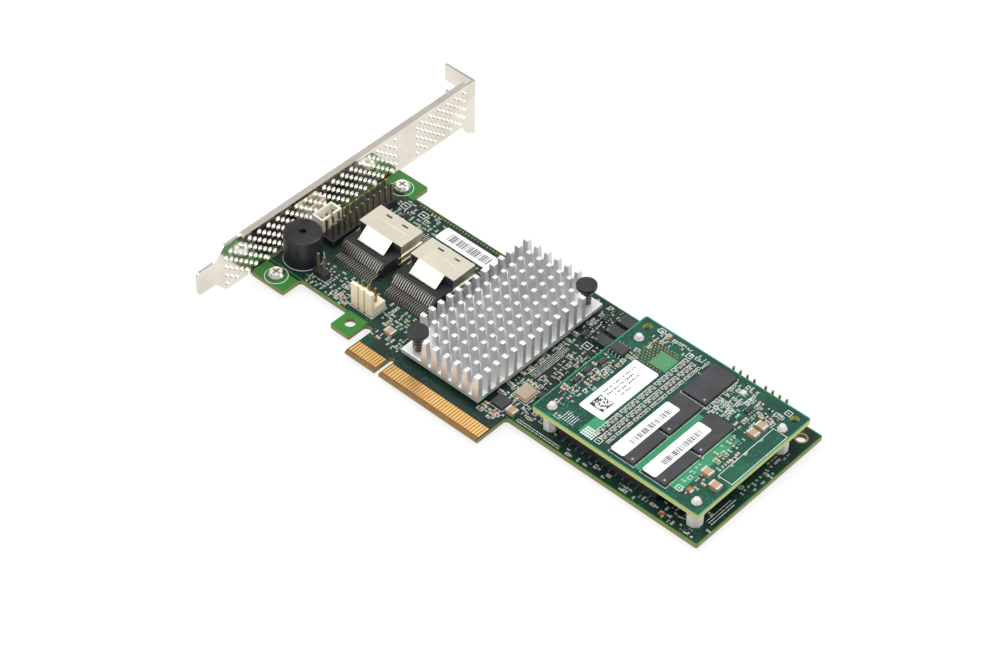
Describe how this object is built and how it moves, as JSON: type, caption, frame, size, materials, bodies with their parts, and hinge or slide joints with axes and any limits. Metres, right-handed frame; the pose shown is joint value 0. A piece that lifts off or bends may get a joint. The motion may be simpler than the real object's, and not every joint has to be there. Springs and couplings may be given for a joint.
{
  "type": "raid_controller_card",
  "caption": "Storage controller expansion card with slot bracket, pin-fin heat sink, right-angle internal drive sockets and a stacked cache board.",
  "frame": {"origin": "centre of the key notch in the card-edge tongue, at the tongue's free edge, on the solder face of the main board", "axes": "+X runs along the card away from the slot bracket, +Y from the card-edge tongue toward the card's far long edge, +Z from the solder face toward the component face"},
  "size_m": [0.1794, 0.12, 0.024],
  "materials": {
    "board_green": "dark green solder mask over copper, semi-gloss",
    "cache_green": "green solder mask, semi-gloss",
    "bracket_steel": "bright nickel-plated sheet steel",
    "screw_steel": "plated steel",
    "sink_aluminium": "plain sawn and tumbled aluminium",
    "black_plastic": "black moulded plastic",
    "shell_metal": "satin tin-plated sheet",
    "cream_plastic": "natural cream nylon",
    "nylon": "translucent natural nylon",
    "gold_contact": "gold-plated contact",
    "tin": "tin-plated leads",
    "chip_black": "black epoxy moulding compound",
    "pad_grey": "grey heat-conducting pad",
    "label_paper": "white printed label",
    "capacitor_tan": "tan ceramic with tinned ends",
    "can_metal": "satin metal can lid"
  },
  "bodies": {
    "root": {"main_board": "board_green", "cache_board": "cache_green", "bracket": "bracket_steel", "bracket_screws": "screw_steel", "push_pin_springs": "screw_steel", "heat_sink": "sink_aluminium", "push_pins": "black_plastic", "buzzer": "black_plastic", "double_header_base": "black_plastic", "jumper_header_base": "black_plastic", "rear_header_1_base": "black_plastic", "rear_header_2_base": "black_plastic", "row_header_base": "black_plastic", "sas_housing_1": "black_plastic", "sas_housing_2": "black_plastic", "stack_plug": "black_plastic", "stack_socket": "black_plastic", "sas_shell_1": "shell_metal", "sas_shell_2": "shell_metal", "key_header_housing": "cream_plastic", "lock_header_housing": "cream_plastic", "standoffs": "nylon", "edge_contacts": "gold_contact", "double_header_pins": "gold_contact", "jumper_header_pins": "gold_contact", "key_header_pins": "gold_contact", "lock_header_pins": "gold_contact", "rear_header_1_pins": "gold_contact", "rear_header_2_pins": "gold_contact", "row_header_pins": "gold_contact", "stack_contacts": "gold_contact", "sas_contacts_1": "tin", "sas_contacts_2": "tin", "supervisor_leads": "tin", "controller_chip": "chip_black", "memory_chip_1": "chip_black", "memory_chip_2": "chip_black", "memory_chip_3": "chip_black", "memory_chip_4": "chip_black", "memory_chip_5": "chip_black", "regulator_chip_1": "chip_black", "regulator_chip_2": "chip_black", "regulator_chip_3": "chip_black", "clock_buffer_chip": "chip_black", "supervisor_chip": "chip_black", "thermal_pad": "pad_grey", "board_label": "label_paper", "cache_label": "label_paper", "chip_label_1": "label_paper", "chip_label_2": "label_paper", "board_capacitors": "capacitor_tan", "cache_capacitors": "capacitor_tan", "oscillator": "can_metal"}
  },
  "joints": []
}
